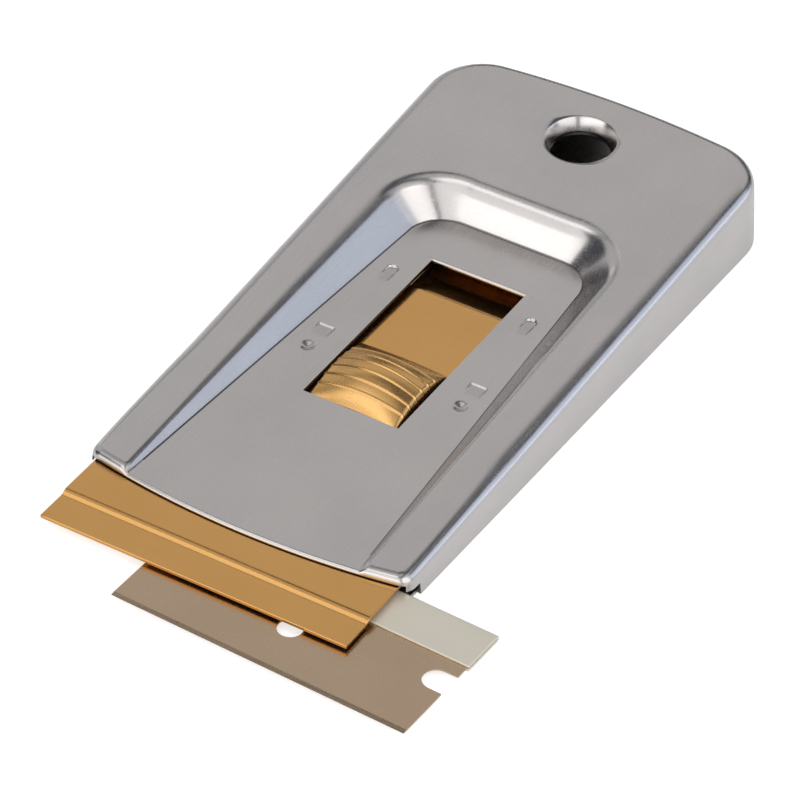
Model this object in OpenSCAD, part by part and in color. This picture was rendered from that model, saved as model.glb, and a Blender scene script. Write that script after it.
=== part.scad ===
// Razor blade scraper: a wedge-shaped pressed housing, a blade carrier that slides in it by a
// ridged thumb button, and a single-edge blade slid half way in under the carrier from the side.
// Lengths are in millimetres. +X is right, +Y runs from the blade to the hanging hole, +Z is up.
// The origin is the middle of the housing's length on the underside of the base.

/* [Housing] */
// Length from the front corners to the middle of the rear edge
body_l = 88; // [84:0.5:96]
// Width across the front corners
front_w = 43.5; // [42:0.1:46]
// Width where the rear corners begin
rear_w = 46; // [44:0.1:50]
// Height of the rails above the panel at the front corners
rail_h = 0.65; // [0.5:0.05:1]
// Height of the housing at its rear edge
rear_h = 9.94; // [9:0.02:12]
// Radius of the bowed front edge
front_arc_r = 110; // [90:1:200]
// Radius of the bowed rear edge
rear_arc_r = 140; // [100:1:240]
// Corner radius in plan at the front
front_corner_r = 1.8; // [1.75:0.05:2.5]
// Corner radius in plan at the rear
rear_corner_r = 7.5; // [6:0.5:11]
// Rounding along the top edge
edge_r = 1.4; // [1:0.1:1.45]
// How far the walls lean out at the foot of the rear wall
flare = 0.6; // [0:0.1:1]
// Sheet thickness of the cover
sheet_t = 0.45; // [0.4:0.05:0.6]
// Length of the blade notch at the front end of each side wall
notch_l = 2.4; // [2:0.1:4]
// Gap over the blade's spine in that notch
notch_gap = 0.2; // [0.1:0.05:0.4]

/* [Recess] */
// Width of the sunk panel at the front corners
recess_front_w = 31.2; // [30:0.1:34]
// Width of the sunk panel where its rear corners begin
recess_rear_w = 24.1; // [23:0.1:28]
// Length of the sunk panel behind the front corners
recess_l = 61.3; // [57:0.1:64]
// Corner radius of the sunk panel at the rear
recess_r = 5; // [3:0.5:7]
// Outward lean of the side walls for each millimetre of height
side_lean_share = 1.0; // [0.5:0.01:1.1]
// Outward lean of the rear wall for each millimetre of height
rear_lean_share = 0.48; // [0.3:0.01:0.8]
// Rise of the panel for each millimetre of length
panel_rise_share = 0.0125; // [0:0.0005:0.02]

/* [Window and stops] */
// Width of the button window
window_w = 13.2; // [12:0.1:15]
// Length of the button window
window_l = 30.1; // [26:0.1:32]
// Distance of the window behind the front corners
window_y = 22.95; // [20:0.05:24]
// Distance of the rear stops behind the front corners, to their steep wall
stop_y = 49.6; // [46:0.1:51]
// Distance of the rear stops from the middle
stop_x = 9.8; // [9.4:0.1:10.2]
// Width of the rear stops
stop_w = 1.8; // [1.4:0.1:2.2]
// Length of the rear stops' ramp
stop_l = 3.6; // [2.5:0.1:4]
// Distance of the front stops behind the front corners, to their steep wall
bar_y = 35.1; // [33:0.1:38]
// Distance of the front stops from the middle
bar_x = 10.65; // [10.4:0.05:10.9]
// Width of the front stops
bar_w = 2.5; // [2:0.1:3]
// Length of the front stops' ramp
bar_l = 1.8; // [1.4:0.1:2.4]
// How deep the stops hang in the slots of the carrier
stop_lap = 0.2; // [0.1:0.05:0.3]
// Distance of the round dimples behind the front corners
dimple_y = 30.5; // [27:0.1:31]
// Diameter of the round dimples
dimple_d = 2.3; // [1.8:0.1:2.6]
// Depth of the round dimples
dimple_h = 0.35; // [0.2:0.05:0.4]

/* [Hanging hole] */
// Diameter of the hanging hole
hole_d = 7.7; // [7:0.1:10]
// Distance of the hole from the rear edge
hole_inset = 9.9; // [8:0.1:10]
// Radius of its rolled lip
lip_r = 0.65; // [0.5:0.05:0.8]
// Depth of the lip below the top, a little less than its radius so that it keeps a fine edge
lip_drop = 0.55; // [0.4:0.05:0.6]
// Depth of its drawn collar
collar_h = 2.2; // [1.5:0.1:3]

/* [Base] */
// Sheet thickness of the bottom plate
base_t = 0.4; // [0.3:0.05:0.5]
// Height of its upturned flange
flange_h = 2.6; // [1.5:0.1:4]
// Distance of the flange behind the front corners
flange_y = 10.5; // [8:0.5:20]
// Reach of the tongue in front of the front corners
tongue_l = 5; // [4:0.5:7]
// Width of the tongue
tongue_w = 35; // [30:0.5:38]
// Gap between pieces that are fixed to each other
fit_gap = 0.05; // [0.02:0.01:0.08]

/* [Carrier] */
// Sheet thickness of the carrier
carrier_t = 0.45; // [0.4:0.05:0.6]
// Gap between the carrier and each side wall
side_gap = 0.7; // [0.45:0.05:1]
// Gap between the carrier and the panel at the front corners
panel_gap = 0.13; // [0.1:0.01:0.3]
// Reach of the carrier in front of the front corners
reach = 11.45; // [10:0.05:13]
// Distance of the step's foot in front of the front corners
joggle_y = 7.18; // [7:0.01:8.5]
// Length of the step
joggle_l = 0.86; // [0.5:0.01:1.6]
// Height of the step
joggle_h = 0.42; // [0.3:0.01:0.6]
// Length of the wide head behind the front corners
head_l = 8.5; // [5:0.5:12]
// Width of the tail
tail_w = 29.4; // [29:0.1:34]
// How far the tail laps past the window
tail_lap = 2; // [1.5:0.1:2.5]
// Width of the leaf that is cut free in the tail and pressed down
leaf_w = 13.6; // [13:0.1:14.4]
// Length of that leaf
leaf_l = 6.5; // [4:0.1:8]
// How deep the leaf is pressed down
leaf_h = 1.1; // [0.5:0.1:1.2]
// Length of the leaf's slope
leaf_run = 3.6; // [2:0.1:5]
// Gap on each side of the leaf
leaf_gap = 0.2; // [0.1:0.05:0.3]
// Width of the slots that the stops run in
slot_w = 4.4; // [4.3:0.1:4.8]
// Distance of these slots from the middle
slot_x = 10.4; // [10.3:0.1:10.5]
// Gap between a stop and the end of its slot
stop_gap = 0.1; // [0.05:0.05:0.3]
// Distance of the pusher tabs from the middle
pusher_x = 14; // [10:0.5:16]
// Width of the pusher tabs
pusher_w = 4; // [3:0.5:6]
// Distance of the pusher tabs behind the front corners
pusher_y = 1.75; // [1.1:0.05:2]
// Gap under the pusher tabs
pusher_gap = 0.15; // [0.1:0.05:0.3]

/* [Thumb button] */
// Length of the button
button_l = 12.2; // [10:0.1:14]
// Gap on each side of the button in the window
button_side_gap = 0.4; // [0.3:0.05:1]
// Gap at each end of the button's travel
button_end_gap = 0.15; // [0.1:0.05:0.4]
// Height of the button's crest above the carrier
button_h = 3; // [2.4:0.1:3.4]
// Height of the button's front and rear edges above the carrier
button_edge_h = 0.3; // [0.2:0.05:0.6]
// Radius of the crown across the button
crown_r = 13; // [8:0.5:14]
// Wall of the button
button_wall = 0.45; // [0.35:0.05:0.6]
// Number of ridges
ridges = 6; // [4:1:8]
// Distance of the first ridge from the front of the button
ridge_y = 2.1; // [1.8:0.1:2.6]
// Spacing of the ridges
ridge_pitch = 1.5; // [1.2:0.05:1.8]
// Width of a ridge
ridge_w = 0.45; // [0.3:0.05:0.6]
// Height of a ridge
ridge_h = 0.2; // [0.1:0.05:0.3]
// Length of each holding tab
tab_l = 3; // [2:0.5:4]

/* [Carrier spring] */
// Length of the bowed spring
spring_l = 30; // [24:1:34]
// Width of the spring
spring_w = 8; // [6:0.5:9]
// Thickness of the spring
spring_t = 0.25; // [0.2:0.05:0.35]
// Diameter of the rivets
rivet_d = 1.8; // [1.4:0.1:2]
// Diameter of the rivet heads
rivet_head_d = 3; // [2.6:0.1:3.4]
// Height of the rivet heads
rivet_head_h = 0.35; // [0.25:0.05:0.4]
// Distance of the rivets from the middle
rivet_x = 2.2; // [2:0.1:2.4]

/* [Blade] */
// Length of the blade
blade_l = 39.4; // [38:0.1:39.4]
// Width of the blade, cutting edge to the back of its spine
blade_w = 19.2; // [18:0.1:19.4]
// Thickness of the blade
blade_t = 0.23; // [0.2:0.01:0.3]
// Width of the ground bevel
bevel_w = 0.6; // [0.5:0.1:1.5]
// Width of the spine
spine_w = 6.4; // [6:0.1:6.8]
// Length of the spine
spine_l = 39.9; // [39:0.1:40.2]
// Thickness of the spine
spine_t = 0.85; // [0.7:0.05:0.95]
// Gap under the spine
blade_gap = 0.05; // [0.05:0.01:0.1]
// Gap between the spine and the front of the carrier
step_gap = 0.06; // [0.05:0.01:0.1]
// Width of the notch in each end of the blade
end_notch_w = 3.4; // [3:0.1:4]
// Depth of that notch
end_notch_l = 3.4; // [2.5:0.1:4]
// Distance of that notch from the cutting edge
end_notch_y = 9.3; // [8.5:0.1:9.5]
// Diameter of the round hole in the blade
blade_hole_d = 3.1; // [2.5:0.1:3.5]
// Distance of that hole from the cutting edge
blade_hole_y = 6.95; // [6.5:0.05:7.5]
// Distance of the blade's middle to the right of the carrier's middle
blade_x = 13; // [9:0.1:18]
// Distance of the cutting edge in front of the front corners, at the blade's middle
blade_y = 18.4; // [18.3:0.05:19.5]
// Turn of the blade as it lies, in degrees
blade_turn = -2.3; // [-2.5:0.1:0]

/* [Hidden] */
$fn = 64;
steel = [0.65, 0.64, 0.62];
gold = [0.74, 0.57, 0.34];
spring_steel = [0.45, 0.46, 0.48];
blade_steel = [0.6, 0.55, 0.48];
spine_grey = [0.78, 0.75, 0.68];

// Overrun of every cut, and points along arcs and rounded edges
over = 5;
arc_steps = 8;
edge_steps = 4;
overshoot_share = 0.5;

// Housing lines along the length
front_y = -body_l / 2;
rear_y = body_l / 2;
front_bow = front_arc_r - sqrt(front_arc_r ^ 2 - (front_w / 2) ^ 2);
front_mid_y = front_y - front_bow;
hole_y = rear_y - hole_inset;
hole_r = hole_d / 2;

// Centres and turns of the arcs round the housing, each corner arc tangent to its edge arc
lean = atan((rear_w - front_w) / 2 / (body_l - rear_corner_r));
front_x = front_w / 2 - front_corner_r;
front_c = front_mid_y + front_arc_r;
front_drop = sqrt((front_arc_r - front_corner_r) ^ 2 - front_x ^ 2);
front_turn = atan2(front_x, front_drop);
rear_x = rear_w / 2 - rear_corner_r;
rear_c = rear_y - rear_arc_r;
rear_drop = sqrt((rear_arc_r - rear_corner_r) ^ 2 - rear_x ^ 2);
rear_turn = atan2(rear_x, rear_drop);
recess_taper = (recess_front_w - recess_rear_w) / 2 / (recess_l - recess_r);

// Stack of levels from the base up to the rails
spine_z = base_t + blade_gap;
spine_top = spine_z + spine_t;
nose_z = spine_top + step_gap;
carrier_z = nose_z + joggle_h;
carrier_top = carrier_z + carrier_t;
panel_h = carrier_top + panel_gap + sheet_t;
front_h = panel_h + rail_h;
top_rise = (rear_h - front_h) / body_l;
blade_z = spine_z + (spine_t - blade_t) / 2;
notch_h = spine_top + notch_gap;

// Sizes that follow from the opening a piece fits in
mouth_w = front_w - 2 * sheet_t;
carrier_w = mouth_w - 2 * side_gap;
button_w = window_w - 2 * button_side_gap;
button_y = front_y + window_y + button_end_gap;
travel = window_l - button_l - 2 * button_end_gap;
tail_end = front_y + window_y + window_l + tail_lap;
stop_z = carrier_top - stop_lap;
spring_y = button_y + button_l / 2;
spine_pocket = spine_w - spine_t;

// Height of the panel's face and of the rails at a place along the length
function panel_z(y) = panel_h + panel_rise_share * (y - front_y);
function top_z(y) = front_h + top_rise * (y - front_y);

// Points along an arc; an arc that runs on into the next one leaves its last point to it
function arc(c, r, a0, a1, end) =
    [for (i = [0:arc_steps - (end ? 0 : 1)])
        let (a = a0 + (a1 - a0) * i / arc_steps) c + r * [cos(a), sin(a)]];

// Outline of the housing from above, drawn in by an inset
function housing_ring(inset) = concat(
    arc([0, front_c], front_arc_r - inset, 270 - front_turn, 270 + front_turn, false),
    arc([front_x, front_c - front_drop], front_corner_r - inset, 270 + front_turn, 360 - lean, true),
    arc([rear_x, rear_c + rear_drop], rear_corner_r - inset, -lean, 90 - rear_turn, false),
    arc([0, rear_c], rear_arc_r - inset, 90 - rear_turn, 90 + rear_turn, false),
    arc([-rear_x, rear_c + rear_drop], rear_corner_r - inset, 90 + rear_turn, 180 + lean, true),
    arc([-front_x, front_c - front_drop], front_corner_r - inset, 180 + lean, 270 - front_turn, false)
);

// Outline of the sunk panel, widened at its sides and its rear
function recess_ring(side, back) =
    let (
        r = recess_r + (side + back) / 2,
        half = recess_front_w / 2 + side + recess_taper * over,
        x = recess_rear_w / 2 + side - r,
        y = front_y + recess_l + back - r
    )
    concat(
        [[-half, front_y - over], [half, front_y - over]],
        arc([x, y], r, 0, 90, true),
        arc([-x, y], r, 90, 180, true)
    );

// An outline lifted to a height, rising towards the rear
function lifted(ring, z, rise) = [for (p = ring) [p.x, p.y, z + rise * (p.y - front_y)]];

// Solid through a stack of outlines with equal numbers of points
module loft(rings) {
    n = len(rings[0]);
    m = len(rings);
    polyhedron(
        [for (ring = rings, p = ring) p],
        concat(
            [[for (i = [0:n - 1]) i]],
            [for (k = [0:m - 2], i = [0:n - 1])
                [k * n + i, (k + 1) * n + i, (k + 1) * n + (i + 1) % n]],
            [for (k = [0:m - 2], i = [0:n - 1])
                [k * n + i, (k + 1) * n + (i + 1) % n, k * n + (i + 1) % n]],
            [[for (i = [n - 1:-1:0]) (m - 1) * n + i]]
        )
    );
}

// Everything above, or else below, a plane that rises towards the rear
module beyond(z, rise, up) {
    translate([0, front_y, z])
        rotate([atan(rise), 0, 0])
            translate([-rear_w, -body_l, up ? 0 : -2 * rear_h])
                cube([2 * rear_w, 3 * body_l, 2 * rear_h]);
}

// The housing as a full block with flared walls and a rounded top edge, drawn in by a wall
// thickness; the last layer overshoots the top and is cut off flat
module housing_block(inset) {
    r = edge_r - inset;
    z = front_h - edge_r;
    foot = flare * (1 + over / (rear_h - edge_r));
    last = 90 * (edge_steps - 1) / edge_steps;
    difference() {
        loft(concat(
            [lifted(housing_ring(inset - foot), -over, 0)],
            [for (i = [0:edge_steps - 1])
                let (a = 90 * i / edge_steps)
                lifted(housing_ring(inset + r * (1 - cos(a))), z + r * sin(a), top_rise)],
            [lifted(housing_ring(inset + r * (1 + overshoot_share * cos(last))),
                z + r * (1 + overshoot_share * (1 - sin(last))), top_rise)]
        ));
        beyond(front_h - inset, top_rise, true);
    }
}

// The recess as a block that opens upwards, grown by a wall thickness; its foot undershoots the
// panel and is cut off flat
module recess_block(wall) {
    side = wall * (sqrt(1 + side_lean_share ^ 2) - side_lean_share);
    back = wall * (sqrt(1 + rear_lean_share ^ 2) - rear_lean_share);
    z = panel_h - wall;
    difference() {
        loft([
            lifted(recess_ring(side - rail_h * side_lean_share, back - rail_h * rear_lean_share),
                z - rail_h, panel_rise_share),
            lifted(recess_ring(side + rear_h * side_lean_share, back + rear_h * rear_lean_share),
                z + rear_h, panel_rise_share)
        ]);
        beyond(z, panel_rise_share, false);
    }
}

// A pressed stop: the lug that hangs under the panel, or the pocket that is left above it
module stop_form(x, y, w, l, lug) {
    wall = lug ? sheet_t : 0;
    high = lug ? panel_z(y) - sheet_t / 2 : panel_z(y) + over;
    low = lug ? stop_z : stop_z + sheet_t;
    toe = panel_z(y - l) - wall;
    translate([x + w / 2 + wall, 0, 0])
        rotate([0, -90, 0])
            linear_extrude(w + 2 * wall)
                polygon([[high, y + wall], [low, y + wall], [low, y], [toe, y - l], [high, y - l]]);
}

// All pressed stops, on both sides
module stops(lug) {
    for (s = [-1, 1]) {
        stop_form(s * stop_x, front_y + stop_y, stop_w, stop_l, lug);
        stop_form(s * bar_x, front_y + bar_y, bar_w, bar_l, lug);
    }
}

// The round dimples: their bosses under the panel, or the hollows that are left above them
module dimples(wall) {
    r = ((dimple_d / 2) ^ 2 + dimple_h ^ 2) / (2 * dimple_h);
    y = front_y + dimple_y;
    for (s = [-1, 1])
        translate([s * bar_x, y, panel_z(y) - dimple_h + r])
            intersection() {
                sphere(r + wall);
                translate([0, 0, -r - wall])
                    cylinder(h = dimple_h + wall / 2, d = dimple_d + 2 * wall);
            }
}

// Puts a form on the hanging hole's axis, square to the sloping top; its own z = 0 is the top
module at_hole() {
    translate([0, hole_y, top_z(hole_y)])
        rotate([atan(top_rise), 0, 0])
            children();
}

// The hanging hole as one cut, with a mouth that rolls over from the top
module hole_cut() {
    at_hole()
        rotate_extrude()
            difference() {
                union() {
                    translate([0, -rear_h - over])
                        square([hole_r, rear_h + 2 * over]);
                    translate([0, -lip_drop])
                        square([hole_r + lip_r, lip_drop + over]);
                }
                translate([hole_r + lip_r, -lip_drop])
                    circle(lip_r);
            }
}

// Drawn steel cover
module top_shell() {
    color(steel)
    difference() {
        union() {
            difference() {
                housing_block(0);
                difference() {
                    housing_block(sheet_t);
                    recess_block(sheet_t);
                }
                beyond(0, 0, false);
            }
            at_hole()
                translate([0, 0, -collar_h])
                    cylinder(h = collar_h - sheet_t / 2, r = hole_r + sheet_t);
            stops(true);
            dimples(sheet_t);
        }
        recess_block(0);
        stops(false);
        dimples(0);
        hole_cut();
        translate([-window_w / 2, front_y + window_y, 0])
            cube([window_w, window_l, rear_h]);
        translate([-mouth_w / 2, front_mid_y - over, -over])
            cube([mouth_w, front_bow + over + notch_l, over + panel_z(front_mid_y) - sheet_t]);
        translate([-front_w, front_mid_y - over, -over])
            cube([2 * front_w, front_bow + over + notch_l, over + notch_h]);
    }
}

// Flat base with an upturned flange inside the cover and a tongue under the blade
module bottom_plate() {
    inset = sheet_t + fit_gap;
    color(steel)
    difference() {
        union() {
            intersection() {
                housing_block(inset);
                translate([-rear_w, -body_l, 0])
                    cube([2 * rear_w, 2 * body_l, base_t]);
            }
            intersection() {
                difference() {
                    housing_block(inset);
                    housing_block(inset + base_t);
                }
                translate([-rear_w, front_y + flange_y, 0])
                    cube([2 * rear_w, body_l, flange_h]);
            }
            translate([-tongue_w / 2, front_y - tongue_l, 0])
                cube([tongue_w, tongue_l + notch_l, base_t]);
        }
        hole_cut();
    }
}

// Plated slide with a stepped head over the blade's spine and a slotted tail with a sunk leaf
module blade_carrier() {
    step_y = front_y - joggle_y;
    slot_front = front_y + bar_y - bar_l - travel - stop_gap;
    slot_end = front_y + stop_y + sheet_t + stop_gap;
    leaf_y = tail_end - leaf_l;
    color(gold) {
        difference() {
            union() {
                translate([carrier_w / 2, 0, 0])
                    rotate([0, -90, 0])
                        linear_extrude(carrier_w)
                            polygon([
                                [nose_z, front_y - reach], [nose_z, step_y],
                                [carrier_z, step_y + joggle_l], [carrier_z, front_y + head_l],
                                [carrier_top, front_y + head_l], [carrier_top, step_y + joggle_l],
                                [carrier_top - joggle_h, step_y], [carrier_top - joggle_h, front_y - reach]
                            ]);
                translate([-tail_w / 2, front_y + head_l / 2, carrier_z])
                    cube([tail_w, tail_end - front_y - head_l / 2, carrier_t]);
                for (s = [-1, 1])
                    translate([s * pusher_x - pusher_w / 2, front_y + pusher_y, base_t + pusher_gap])
                        cube([pusher_w, carrier_t, carrier_top - base_t - pusher_gap]);
            }
            for (s = [-1, 1]) {
                translate([s * slot_x - slot_w / 2, slot_front, 0])
                    cube([slot_w, slot_end - slot_front, over]);
                translate([s * (button_w - button_wall) / 2, spring_y, carrier_z + carrier_t / 2])
                    cube([button_wall + 2 * fit_gap, tab_l + 2 * fit_gap, over], center = true);
                translate([s * rivet_x, spring_y, 0])
                    cylinder(h = over, r = rivet_d / 2 + fit_gap);
            }
            translate([-leaf_w / 2 - leaf_gap, leaf_y, 0])
                cube([leaf_w + 2 * leaf_gap, leaf_l + over, over]);
        }
        translate([leaf_w / 2, 0, 0])
            rotate([0, -90, 0])
                linear_extrude(leaf_w)
                    polygon([
                        [carrier_z, leaf_y - leaf_h], [carrier_z, leaf_y],
                        [carrier_z - leaf_h, leaf_y + leaf_run], [carrier_z - leaf_h, tail_end],
                        [carrier_top - leaf_h, tail_end], [carrier_top - leaf_h, leaf_y + leaf_run],
                        [carrier_top, leaf_y], [carrier_top, leaf_y - leaf_h]
                    ]);
    }
}

// Solid form of the button: an arch along its length under a crown from side to side
module button_form(grow) {
    rise = button_h - button_edge_h;
    arch_r = ((button_l / 2) ^ 2 + rise ^ 2) / (2 * rise);
    wall = -min(grow, 0);
    intersection() {
        translate([wall - button_w / 2, wall, 0])
            cube([button_w - 2 * wall, button_l - 2 * wall, button_h + over]);
        translate([0, -over, button_h - crown_r])
            rotate([-90, 0, 0])
                cylinder(h = button_l + 2 * over, r = crown_r + grow);
        translate([-button_w, button_l / 2, button_h - arch_r])
            rotate([0, 90, 0])
                cylinder(h = 2 * button_w, r = arch_r + grow);
    }
}

// Pressed cap with ridges across it and two tabs through the carrier
module thumb_button() {
    color(gold)
    translate([0, button_y, carrier_top]) {
        difference() {
            union() {
                button_form(0);
                for (i = [0:ridges - 1])
                    intersection() {
                        button_form(ridge_h);
                        translate([-button_w, ridge_y + i * ridge_pitch - ridge_w / 2, 0])
                            cube([2 * button_w, ridge_w, 2 * button_h]);
                    }
            }
            button_form(-button_wall);
        }
        for (s = [-1, 1])
            translate([s * (button_w - button_wall) / 2, button_l / 2, 0])
                cube([button_wall, tab_l, 2 * carrier_t], center = true);
    }
}

// Bowed leaf spring that presses the carrier up against the panel
module carrier_spring() {
    crown = carrier_z - fit_gap;
    sag = crown - spring_t - base_t - fit_gap;
    r = ((spring_l / 2) ^ 2 + sag ^ 2) / (2 * sag);
    color(spring_steel)
    difference() {
        intersection() {
            translate([-spring_w / 2, spring_y, crown - r])
                rotate([0, 90, 0])
                    difference() {
                        cylinder(h = spring_w, r = r, $fn = 4 * $fn);
                        translate([0, 0, -over])
                            cylinder(h = spring_w + 2 * over, r = r - spring_t, $fn = 4 * $fn);
                    }
            translate([-spring_w, spring_y - spring_l / 2, base_t + fit_gap])
                cube([2 * spring_w, spring_l, over]);
        }
        for (s = [-1, 1])
            translate([s * rivet_x, spring_y, 0])
                cylinder(h = over, r = rivet_d / 2 + fit_gap);
    }
}

// Two rivets that hold the spring to the carrier, with their upper heads inside the button
module spring_rivets() {
    low = carrier_z - 2 * fit_gap - spring_t - rivet_head_h;
    color(gold)
    for (s = [-1, 1])
        translate([s * rivet_x, spring_y, low]) {
            cylinder(h = rivet_head_h, d = rivet_head_d);
            cylinder(h = carrier_top - low, d = rivet_d);
            translate([0, 0, carrier_top - low])
                cylinder(h = rivet_head_h, d = rivet_head_d);
        }
}

// Puts a piece of the blade where the blade lies; its own y = 0 is the cutting edge
module placed_blade() {
    translate([blade_x, front_y - blade_y, 0])
        rotate([0, 0, blade_turn])
            children();
}

// Ground single-edge blade with a notch in each end and a round hole
module blade_plate() {
    mid = blade_z + blade_t / 2;
    top = blade_z + blade_t;
    back = blade_w - spine_w + spine_pocket;
    color(blade_steel)
    placed_blade()
        difference() {
            translate([blade_l / 2, 0, 0])
                rotate([0, -90, 0])
                    linear_extrude(blade_l)
                        polygon([
                            [mid, 0], [blade_z, bevel_w], [blade_z, back], [top, back], [top, bevel_w]
                        ]);
            translate([0, blade_hole_y, 0])
                cylinder(h = over, d = blade_hole_d);
            for (s = [-1, 1])
                translate([s * (blade_l / 2 - end_notch_l + end_notch_w / 2), end_notch_y, 0]) {
                    cylinder(h = over, d = end_notch_w);
                    translate([s > 0 ? 0 : -end_notch_l, -end_notch_w / 2, 0])
                        cube([end_notch_l, end_notch_w, over]);
                }
        }
}

// Strip folded over the blade's back edge
module blade_spine() {
    color(spine_grey)
    placed_blade()
        translate([spine_l / 2, blade_w - spine_w, spine_z])
            rotate([0, -90, 0])
                linear_extrude(spine_l)
                    difference() {
                        union() {
                            square([spine_t, spine_w - spine_t / 2]);
                            translate([spine_t / 2, spine_w - spine_t / 2])
                                circle(d = spine_t);
                        }
                        translate([(spine_t - blade_t) / 2, -over])
                            square([blade_t, spine_pocket + over]);
                    }
}

top_shell();
bottom_plate();
blade_carrier();
thumb_button();
carrier_spring();
spring_rivets();
blade_plate();
blade_spine();
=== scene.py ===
# %% [markdown]
# # A razor blade scraper, dressed in Blender
# The real tool is a pressed steel cover on a flat base. A yellow plated carrier slides in it by a
# ridged thumb button and holds a single-edge blade. The CAD model gives every piece its place, so
# this script only adds the shapes that a press leaves behind (rounded edges, rolled lips) and the
# finishes. We work in millimetres and turn them into metres when a mesh is made.

# %% Load the frame
import math

import bmesh
import bpy
import numpy as np
from mathutils import Matrix


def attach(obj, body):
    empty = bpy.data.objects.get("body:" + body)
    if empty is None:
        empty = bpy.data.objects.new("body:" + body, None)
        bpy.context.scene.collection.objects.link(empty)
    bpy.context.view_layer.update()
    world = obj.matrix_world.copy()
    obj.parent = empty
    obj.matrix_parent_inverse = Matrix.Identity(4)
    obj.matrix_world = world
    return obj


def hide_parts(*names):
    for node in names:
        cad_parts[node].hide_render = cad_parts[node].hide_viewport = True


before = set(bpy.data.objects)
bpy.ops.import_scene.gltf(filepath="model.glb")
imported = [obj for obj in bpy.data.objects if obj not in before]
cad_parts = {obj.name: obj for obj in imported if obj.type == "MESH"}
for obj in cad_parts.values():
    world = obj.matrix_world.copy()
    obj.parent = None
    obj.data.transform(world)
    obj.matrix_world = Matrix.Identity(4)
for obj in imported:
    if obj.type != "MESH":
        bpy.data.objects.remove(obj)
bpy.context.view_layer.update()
MM = 0.001

# %% [markdown]
# ## The camera
# A product photograph is taken from far away with a long lens, so parallel edges stay nearly
# parallel. The camera below stands half a metre off, to the front right and above. A Track To
# constraint would aim it, but would keep the picture level, and this one is turned by two degrees.
# So we build its matrix from three directions: right, up and back.

# %% Camera
LENS_PX, FRAME_PX, SENSOR = 4311.5, 800, 36
AZIMUTH, ELEVATION, ROLL = math.radians(29.62), math.radians(39.0), math.radians(2.215)
TARGET, DISTANCE = np.array([3.95, -16.246, 3.0]), 510.6


def stand(obj, side, tall, back, spot):
    """Stands an object at a spot so that its own x, y and z run along side, tall and back.
    The three directions are the first columns of its matrix, and the spot is the last one."""
    columns = np.column_stack([side, tall, back, np.asarray(spot) * MM])
    obj.matrix_world = Matrix([*columns.tolist(), (0, 0, 0, 1)])
    bpy.context.scene.collection.objects.link(obj)


away = np.array([math.sin(AZIMUTH) * math.cos(ELEVATION),
                 -math.cos(AZIMUTH) * math.cos(ELEVATION), math.sin(ELEVATION)])
level = np.array([math.cos(AZIMUTH), math.sin(AZIMUTH), 0.0])
upright = np.cross(away, level)
right = math.cos(ROLL) * level + math.sin(ROLL) * upright
up = math.cos(ROLL) * upright - math.sin(ROLL) * level

lens = bpy.data.cameras.new("view")
lens.sensor_width = SENSOR
lens.lens = SENSOR * LENS_PX / FRAME_PX
lens.clip_start, lens.clip_end = 0.01, 20
camera = bpy.data.objects.new("view", lens)
stand(camera, right, up, away, TARGET + DISTANCE * away)
bpy.context.scene.camera = camera
print("lens", round(lens.lens, 1), "mm")

# %% [markdown]
# ## From arrays to a sheet of metal
# Every piece here is bent from sheet, so it has an outer face, an inner face one thickness away and
# a narrow rim wherever the sheet ends. A patch is therefore a pair of grids of points, outer and
# inner, of the same size, with a mask of the cells that are kept. Blender's Solidify could thicken a
# single grid, but it pinches where a bend is tighter than the sheet is thick. The first helpers set
# patches side by side, merge the points that two patches share and find the open borders.

# %% Points and faces of a sheet
WELD_DIGITS = 4


def mirrored(patch):
    """The same patch on the other side of the middle plane: x changes sign."""
    outer, inner, keep = patch
    flip = np.array([-1.0, 1.0, 1.0])
    return outer * flip, inner * flip, keep


def sheet_faces(patches):
    """Lists the points and faces of patches that share borders.
    A grid cell (i, j) becomes the face of its four corners; points that fall together are one point,
    and a cell with two corners in one point becomes a triangle."""
    outer, inner, quads, count = [], [], [], 0
    for top, under, keep in patches:
        n_rows, n_cols = top.shape[:2]
        ids = count + np.arange(n_rows * n_cols).reshape(n_rows, n_cols)
        cells = np.stack([ids[:-1, :-1], ids[1:, :-1], ids[1:, 1:], ids[:-1, 1:]], -1)
        quads.append(cells.reshape(-1, 4) if keep is None else cells[keep])
        outer.append(top.reshape(-1, 3))
        inner.append(under.reshape(-1, 3))
        count += n_rows * n_cols
    outer, inner = np.concatenate(outer), np.concatenate(inner)
    _, first, same = np.unique(np.round(outer, WELD_DIGITS), axis=0,
                               return_index=True, return_inverse=True)
    quads = same.reshape(-1)[np.concatenate(quads)]
    repeat = quads == np.roll(quads, -1, axis=1)
    whole = quads[repeat.sum(1) == 0]
    thin = quads[repeat.sum(1) == 1]
    keep3 = np.argsort(repeat[repeat.sum(1) == 1], axis=1, kind="stable")[:, :3]
    threes = np.take_along_axis(thin, np.sort(keep3, axis=1), axis=1)
    used, new = np.unique(np.concatenate([whole.ravel(), threes.ravel()]), return_inverse=True)
    cut = whole.size
    return (outer[first][used], inner[first][used],
            new[:cut].reshape(-1, 4), new[cut:].reshape(-1, 3))


def rim_edges(fours, threes):
    """Border edges of a sheet: those that belong to one face only."""
    pairs = [np.stack([f, np.roll(f, -1, axis=1)], -1).reshape(-1, 2) for f in (fours, threes)]
    pairs = np.sort(np.concatenate(pairs), axis=1)
    edges, times = np.unique(pairs, axis=0, return_counts=True)
    return edges[times == 1]


trial = np.stack(np.meshgrid([0.0, 1.0], [0.0, 1.0, 2.0], [0.0], indexing="ij"), -1)[:, :, 0]
trial_fours, trial_threes = sheet_faces([(trial, trial, None)])[2:]
print("a patch of 2 by 3 points:", len(trial_fours), "faces,",
      len(rim_edges(trial_fours, trial_threes)), "rim edges")

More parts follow.
